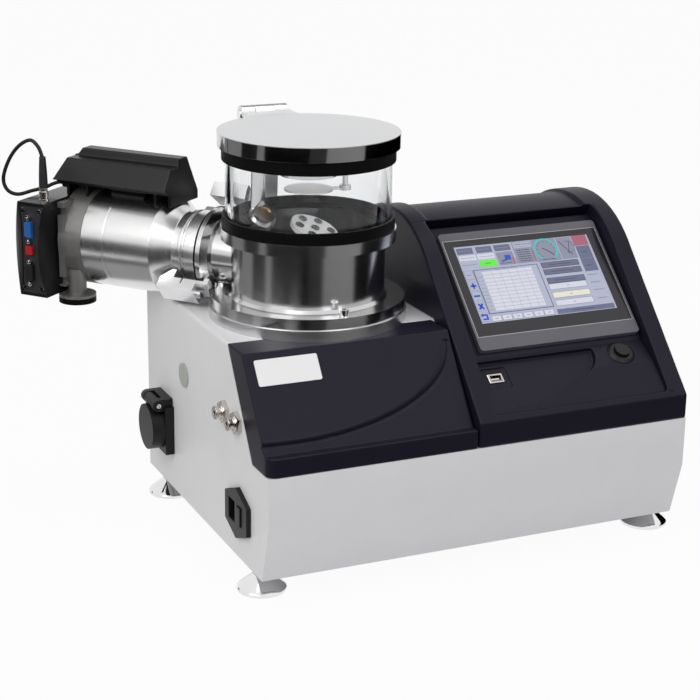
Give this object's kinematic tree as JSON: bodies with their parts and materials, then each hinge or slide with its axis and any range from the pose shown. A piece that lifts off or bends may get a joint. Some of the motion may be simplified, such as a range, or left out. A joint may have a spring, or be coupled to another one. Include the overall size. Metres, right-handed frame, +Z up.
{
  "type": "sputter coater",
  "caption": "Bench sputter coater with hinged-lid glass vacuum chamber, side-mounted turbo pump, touch-panel console and levelling feet.",
  "frame": {"origin": "on the floor, the middle of the front left foot's underside", "axes": "+X to the user's right, +Y to the back, +Z up"},
  "size_m": [0.6327, 0.4568, 0.435],
  "materials": {
    "white_paint": "fine satin powder coat",
    "black_cover": "satin moulded",
    "black_part": "satin",
    "bezel_grey": "satin",
    "screen": "glossy display",
    "polished_steel": "polished stainless steel",
    "brushed_steel": "brushed",
    "aluminium": "fine blasted",
    "chrome": "polished",
    "seal_rubber": "smooth",
    "clear_glass": "clear",
    "gold": "target metal",
    "cast_grey": "cast light alloy",
    "blue_socket": "moulded",
    "cord_rubber": "cord jacket",
    "board_green": "circuit board",
    "plug_grey": "satin"
  },
  "bodies": {
    "case": {"lower_case": "white_paint", "base_pan": "white_paint", "left_cover": "black_cover", "console_cover": "black_cover", "control_tray": "black_cover", "name_plate": "white_paint", "touch_panel_bezel": "bezel_grey", "touch_panel_glass": "screen", "usb_socket": "polished_steel", "button_ring": "black_part", "mains_inlet": "black_part", "outlet_base": "black_part", "outlet_flap_pin": "chrome", "side_plug": "plug_grey", "gas_fittings": "polished_steel", "base_disc": "brushed_steel", "chamber_body": "polished_steel", "flange_screws": "chrome", "lower_seal": "seal_rubber", "glass_cylinder": "clear_glass", "upper_seal": "seal_rubber", "hinge_post": "aluminium", "hinge_pin": "chrome", "stage_stand": "brushed_steel", "vacuum_gauge": "brushed_steel", "port_seal_ring": "seal_rubber", "claw_clamps": "aluminium", "clamp_screws": "chrome", "pump_envelope": "brushed_steel", "pump_base": "cast_grey", "foreline_cap": "seal_rubber", "drive_box": "black_part", "drive_sockets": "blue_socket", "box_screws": "chrome", "fan_cover": "black_part", "fan_frame": "black_part", "lead_plug": "black_part", "fan_lead": "cord_rubber", "power_supply": "aluminium", "control_board": "board_green"},
    "lid": {"lid_plate": "brushed_steel", "hinge_arm": "aluminium", "cathode_shield": "polished_steel", "sputter_target": "gold", "shutter_bush": "polished_steel", "thickness_sensor": "polished_steel", "sensor_crystal": "gold"},
    "shutter": {"shutter": "brushed_steel"},
    "outlet_flap": {"outlet_flap": "black_part"},
    "power_button": {"power_button": "brushed_steel"},
    "fuse_drawer": {"fuse_drawer": "black_part"},
    "stage_yoke": {"stage_yoke": "brushed_steel"},
    "specimen_table": {"specimen_table": "polished_steel", "specimen_stubs": "aluminium"},
    "pump_rotor": {"pump_rotor": "aluminium"},
    "fan_rotor": {"fan_rotor": "black_part"},
    "foot_front_left": {"foot_front_left": "chrome"},
    "foot_front_right": {"foot_front_right": "chrome"},
    "foot_rear_left": {"foot_rear_left": "chrome"},
    "foot_rear_right": {"foot_rear_right": "chrome"}
  },
  "joints": [
    {"name": "lid_hinge", "type": "hinge", "parent": "case", "child": "lid", "pos_m": [0.102, 0.255, 0.426], "axis": [-1, 0, 0], "range_deg": [0, 75]},
    {"name": "shutter_swing", "type": "hinge", "parent": "lid", "child": "shutter", "pos_m": [0.13917, 0.1211, 0.395], "axis": [0, 0, 1], "range_deg": [0, 75]},
    {"name": "outlet_flap_hinge", "type": "hinge", "parent": "case", "child": "outlet_flap", "pos_m": [-0.028, 0.252, 0.119], "axis": [0, 1, 0], "range_deg": [0, 100], "stiffness_Nm_per_rad": 0.02, "springref_deg": -17.19},
    {"name": "power_button_push", "type": "slide", "parent": "case", "child": "power_button", "axis": [0, 0.5049, -0.8632], "range_m": [0, 0.0025], "stiffness_N_per_m": 500, "springref_m": -0.001},
    {"name": "fuse_drawer_slide", "type": "slide", "parent": "case", "child": "fuse_drawer", "axis": [-1, 0, 0], "range_m": [0, 0.012]},
    {"name": "stage_tilt", "type": "hinge", "parent": "case", "child": "stage_yoke", "pos_m": [0.104, 0.132, 0.3117], "axis": [0.7771, 0.6293, 0], "range_deg": [-45, 45]},
    {"name": "table_turn", "type": "hinge", "parent": "stage_yoke", "child": "specimen_table", "pos_m": [0.104, 0.132, 0.3117], "axis": [0.2459, -0.3037, 0.9205], "continuous": true},
    {"name": "pump_rotor_spin", "type": "hinge", "parent": "case", "child": "pump_rotor", "pos_m": [0.102, 0.129, 0.2913], "axis": [-0.6428, 0.766, 0], "continuous": true},
    {"name": "fan_spin", "type": "hinge", "parent": "case", "child": "fan_rotor", "pos_m": [-0.02977, 0.28604, 0.3513], "axis": [0, 0, 1], "continuous": true},
    {"name": "foot_front_left_turn", "type": "hinge", "parent": "case", "child": "foot_front_left", "pos_m": [0, 0, 0.02], "axis": [0, 0, 1], "continuous": true},
    {"name": "foot_front_right_turn", "type": "hinge", "parent": "case", "child": "foot_front_right", "pos_m": [0.446, 0, 0.02], "axis": [0, 0, 1], "continuous": true},
    {"name": "foot_rear_left_turn", "type": "hinge", "parent": "case", "child": "foot_rear_left", "pos_m": [0, 0.276, 0.02], "axis": [0, 0, 1], "continuous": true},
    {"name": "foot_rear_right_turn", "type": "hinge", "parent": "case", "child": "foot_rear_right", "pos_m": [0.446, 0.276, 0.02], "axis": [0, 0, 1], "continuous": true}
  ]
}
